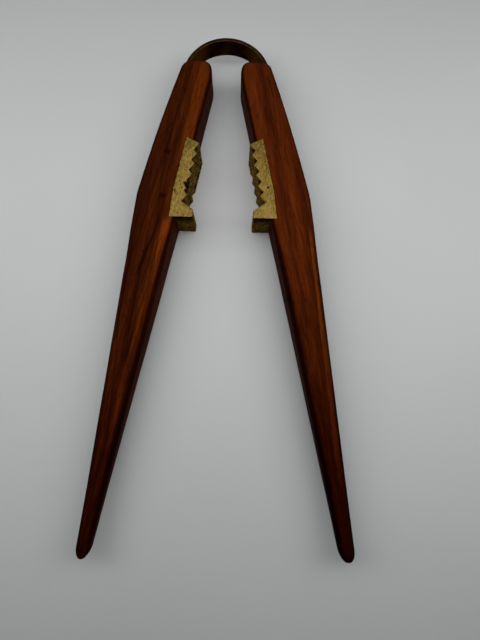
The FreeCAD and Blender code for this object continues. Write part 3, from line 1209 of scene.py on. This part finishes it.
    def build(self, finish: Finish) -> bpy.types.Object:
        """Makes the casting and dresses it.

        Args:
            finish: the brass's finish.

        Returns:
            The jaw.
        """
        outline = self.outline()
        before, after = np.roll(outline, 1, axis=0), np.roll(outline, -1, axis=0)
        tangent = after - before
        tangent /= np.linalg.norm(tangent, axis=1)[:, None]
        area = np.sum(outline[:, 0] * after[:, 1] - after[:, 0] * outline[:, 1])
        outward = np.stack([tangent[:, 1], -tangent[:, 0], np.zeros(len(outline))], -1)
        outward *= math.copysign(1.0, area)
        high = self.datum.thickness
        bevel = self.face_bevel
        wall = np.linspace(bevel, high - bevel, int(high / self.wall_step))
        levels = [(0.0, bevel), (0.3 * bevel, 0.3 * bevel)]
        levels += [(z, 0.0) for z in wall]
        levels += [(high - 0.3 * bevel, 0.3 * bevel), (high, bevel)]
        rings = []
        for z, drawn_in in levels:
            for (x, y), normal in zip(outline, outward):
                point = self.skin(np.array([x, y, z]), normal)
                rings.append(point - normal * drawn_in)
        vertices = mirrored(np.array(rings), self.side)
        brass = mesh_piece(self.side.node("jaw_casting"), vertices,
                           tube_faces(len(levels), len(outline)), math.radians(50))
        brass.data.materials.append(finish.material(self.side.node("brass_cast_filed")))
        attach(brass, self.side.body)
        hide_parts(self.side.node("jaw"))
        return brass


@dataclass
class SpringPin:
    """The pin through a tail of the band, its head filed to the slope of the wood."""

    side: Side
    datum: Datum
    proud: float = 0.06 * MM
    around: int = 28

    def build(self, handle: Handle, finish: Finish) -> bpy.types.Object:
        """Makes the pin and dresses it.

        Args:
            handle: the lever that it is driven into.
            finish: the pin's finish.

        Returns:
            The pin.
        """
        low, high = self.datum.pin_low, self.datum.pin_high
        radius = (high.z - low.z) / 2
        middle_y, middle_z = (low.y + high.y) / 2, (low.z + high.z) / 2
        buried = ((0.0, 0.82), (0.15 * MM, 1.0), (3 * MM, 1.0))     # past the inner end, width
        head = ((-0.05 * MM, 1.0), (0.4 * self.proud, 0.86), (self.proud, 0.45))    # off the wood
        points = []
        for level, (out, share) in enumerate(buried + head):
            for step in range(self.around):
                angle = 2 * math.pi * step / self.around
                y = middle_y + share * radius * math.cos(angle)
                z = middle_z + share * radius * math.sin(angle)
                wood_x = float(handle.outer_x(np.array(y))) + out - handle.unevenness / 2
                points.append((low.x + out if level < len(buried) else wood_x, y, z))
        vertices = mirrored(np.array(points), self.side)
        pin = mesh_piece(self.side.node("spring_pin_peened"), vertices,
                         tube_faces(len(buried + head), self.around))
        pin.data.materials.append(finish.material(self.side.node("brass_pin_peened")))
        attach(pin, self.side.body)
        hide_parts(self.side.node("spring_pin"))
        return pin


@dataclass
class JawDowels:
    """The hidden dowels behind the jaws, kept from the CAD and given their finish."""

    nodes: dict[str, bpy.types.Object]

    def dress(self, finish: Finish) -> list[bpy.types.Object]:
        """Gives every dowel its finish.

        Args:
            finish: the dowels' finish.

        Returns:
            The dowels.
        """
        material = finish.material("steel_dowel_ground")
        dowels = [self.nodes[side.node(f"jaw_{place}_pin")] for side in Side
                  for place in ("upper", "lower")]
        for dowel in dowels:
            dowel.data.materials.clear()
            dowel.data.materials.append(material)
        return dowels


# --------------------------------------------------------------------------------------- stage
@dataclass(frozen=True)
class Panel:
    """One soft light panel: where its middle is, its width and height, and its power."""

    name: str
    place: tuple[float, float, float]
    size: tuple[float, float]
    watts: float


@dataclass
class Studio:
    """Table top, soft light from above and the camera."""

    table_half: float = 1.6
    camera_place: tuple[float, float, float] = (5.03 * MM, -35.58 * MM, 191.87 * MM)
    camera_aim: tuple[float, float, float] = (7.18 * MM, -13.23 * MM, 9.0 * MM)
    camera_roll: float = math.radians(1.06)
    lens: float = 27.0
    horizon_strength: float = 0.50
    zenith_strength: float = 0.05
    horizon_height: float = 0.35    # sine of the height at which the glow has faded
    horizon_colour: str = "D2D5D8"
    overhead: Panel = Panel("overhead", (0.0, 0.045, 0.21), (0.70, 0.16), 0.85)
    window: Panel = Panel("window", (0.62, 0.10, 0.30), (0.4, 0.4), 0.10)

    def camera(self) -> bpy.types.Object:
        """Sets the camera close above the tongs, a little towards the tips."""
        data = bpy.data.cameras.new("camera")
        data.lens = self.lens
        data.sensor_width = 36.0
        data.clip_start = 5 * MM
        camera = bpy.data.objects.new("camera", data)
        bpy.context.scene.collection.objects.link(camera)
        sight = Vector(self.camera_aim) - Vector(self.camera_place)
        right = sight.cross(Vector((0, 1, 0))).normalized()
        up = right.cross(sight).normalized()
        basis = Matrix((right, up, -sight.normalized())).transposed()
        turn = Matrix.Rotation(self.camera_roll, 3, "Z")
        camera.matrix_world = Matrix.Translation(self.camera_place) @ (basis @ turn).to_4x4()
        bpy.context.scene.camera = camera
        return camera

    def table(self) -> bpy.types.Object:
        """Lays the table top under the tongs."""
        half = self.table_half
        corners = np.array([(-half, -half, 0), (half, -half, 0), (half, half, 0), (-half, half, 0)])
        top = mesh_piece("table_top", corners, [(0, 1, 2, 3)])
        top.data.materials.append(MattLaminate().material("table_laminate_matt"))
        return top

    def hang(self, panel: Panel) -> bpy.types.Object:
        """Hangs one light panel so that it faces the tongs.

        Args:
            panel: which one.

        Returns:
            The light.
        """
        data = bpy.data.lights.new(panel.name, "AREA")
        data.shape = "RECTANGLE"
        data.size, data.size_y = panel.size
        data.energy = panel.watts
        light = bpy.data.objects.new(panel.name, data)
        bpy.context.scene.collection.objects.link(light)
        light.location = panel.place
        light.visible_camera = False
        light.rotation_euler = (-Vector(panel.place)).to_track_quat("-Z", "Y").to_euler()
        return light

    def air(self) -> None:
        """Surrounds the table with a pale horizon that darkens overhead."""
        world = bpy.data.worlds.new("air")
        world.use_nodes = True
        tree = world.node_tree
        tree.nodes.clear()
        direction = add(tree, "ShaderNodeTexCoord")
        parts = add(tree, "ShaderNodeSeparateXYZ", {0: direction.outputs["Generated"]})
        strength = add(tree, "ShaderNodeMapRange",
                       {"interpolation_type": "SMOOTHSTEP", 0: parts.outputs[2], 1: 0.0,
                        2: self.horizon_height, 3: self.horizon_strength,
                        4: self.zenith_strength}).outputs[0]
        glow = add(tree, "ShaderNodeBackground",
                   {"Color": linear(self.horizon_colour), "Strength": strength})
        add(tree, "ShaderNodeOutputWorld", {"Surface": glow.outputs[0]})
        bpy.context.scene.world = world

    def build(self) -> None:
        """Sets the stage."""
        self.table()
        self.hang(self.overhead)
        self.hang(self.window)
        self.air()
        bpy.context.scene.view_settings.view_transform = "Standard"


# ---------------------------------------------------------------------------------------- main
def rosewood(side: Side) -> OiledRosewood:
    """The finish of each lever; they were cut from different boards.

    Args:
        side: which lever.

    Returns:
        Its finish.
    """
    lean = math.radians(11.0)
    if side is Side.LEFT:
        knots = (Knot(-21.7 * MM, 49.9 * MM, 1.3 * MM), Knot(-23.0 * MM, 32.3 * MM, 1.5 * MM),
                 Knot(-15.8 * MM, 74.5 * MM, 0.4 * MM), Knot(-21.6 * MM, 57.1 * MM, 0.4 * MM),
                 Knot(-29.3 * MM, 10.7 * MM, 0.5 * MM))
        flame = Streak((-20.6 * MM, 23.4 * MM), (-26.4 * MM, -6.0 * MM), (4.6 * MM, 0.8 * MM),
                       "803A12", 0.7)
        line = Streak((-23.6 * MM, 24.6 * MM), (-31.8 * MM, -0.3 * MM), (0.5 * MM, 1.6 * MM),
                      "1C0702", 0.8)
        return OiledRosewood(lean=lean, axis_x=-28.4 * MM, light="5A2609", middle="421A07",
                             dark="341206", vein="1A0803", heart="6A2F0B", heart_share=0.85,
                             vein_share=0.45, tip_darkening="BC8E6A", knots=knots,
                             dark_y=-108 * MM, streaks=(line, flame), shift=3.0)
    gouge = Streak((23.8 * MM, -4.7 * MM), (27.0 * MM, -8.2 * MM), (0.6 * MM, 0.3 * MM), "1C0702")
    dark_line = Streak((15.8 * MM, 82.0 * MM), (19.2 * MM, 71.0 * MM), (0.7 * MM, 0.5 * MM),
                       "220A02", 0.7)
    # Painted highlight: a paler strip along the right lever's outer rounded edge, where the light
    # catches it.
    pale_edge = Streak((32.6 * MM, 20.0 * MM), (45.6 * MM, -80.0 * MM), (1.4 * MM, 2.2 * MM),
                    "924718", 0.5)
    return OiledRosewood(lean=-lean, axis_x=28.4 * MM, light="662B0B", middle="54220A",
                         dark="421907", vein="240C04", heart="682D0D", heart_share=0.45,
                         vein_share=0.3, tip_darkening="9E8068", streaks=(gouge, dark_line, pale_edge),
                         shift=11.0)


def jaw_faults(side: Side) -> tuple[tuple[Break, ...], tuple[Streak, ...]]:
    """What is broken and what is pitted in each casting.

    Args:
        side: which jaw.

    Returns:
        The breaks in its teeth, and the holes and cracks in its filed face.
    """
    if side is Side.LEFT:
        breaks = (Break(tooth=4.0, depth_z=5.0 * MM, radius=1.55 * MM, bite=1.2 * MM),
                  Break(tooth=3.0, depth_z=2.0 * MM, radius=0.8 * MM, bite=0.2 * MM))
        cavity = Streak((-14.9 * MM, 37.9 * MM), (-13.9 * MM, 35.4 * MM), (1.1 * MM, 0.8 * MM),
                        "0C0703", 0.95)
        return breaks, (cavity,)
    pit = (16.5 * MM, 36.1 * MM)
    hole = Streak(pit, (17.0 * MM, 36.6 * MM), (0.9 * MM, 0.7 * MM), "140C03")
    crack = Streak(pit, (17.9 * MM, 37.6 * MM), (0.35 * MM, 0.2 * MM), "1C1206")
    pore = Streak((15.3 * MM, 46.5 * MM), (15.8 * MM, 46.9 * MM), (0.5 * MM, 0.4 * MM), "1C1206")
    return (), (hole, crack, pore)


def main() -> None:
    """Builds the stage and every piece in order."""
    logging.basicConfig(level=logging.INFO, format="%(name)s: %(message)s")
    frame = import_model()
    studio = Studio()
    studio.camera()
    studio.build()
    datum = Datum.from_frame()

    band = SpringBand(datum)
    for half in band.build(RolledSpringBrass()):
        log.info("%s: half of the spring band", half.name)
    for side in Side:
        breaks, flaws = jaw_faults(side)
        jaw = Jaw(side, datum, breaks)
        handle = Handle(side, datum, tip_slimmed=0.7 * MM if side is Side.LEFT else 0.0)
        pieces = [jaw.build(CastBrass(flaws=flaws, painted_shade=jaw.painted_shade())),
                  handle.build(jaw, band, rosewood(side)),
                  SpringPin(side, datum).build(handle, PeenedBrassPin())]
        for piece in pieces:
            log.info("%s: %d faces", piece.name, len(piece.data.polygons))
    for dowel in JawDowels(frame["nodes"]).dress(GroundSteelDowel()):
        log.info("%s: kept from the CAD", dowel.name)


if __name__ == "__main__":
    main()
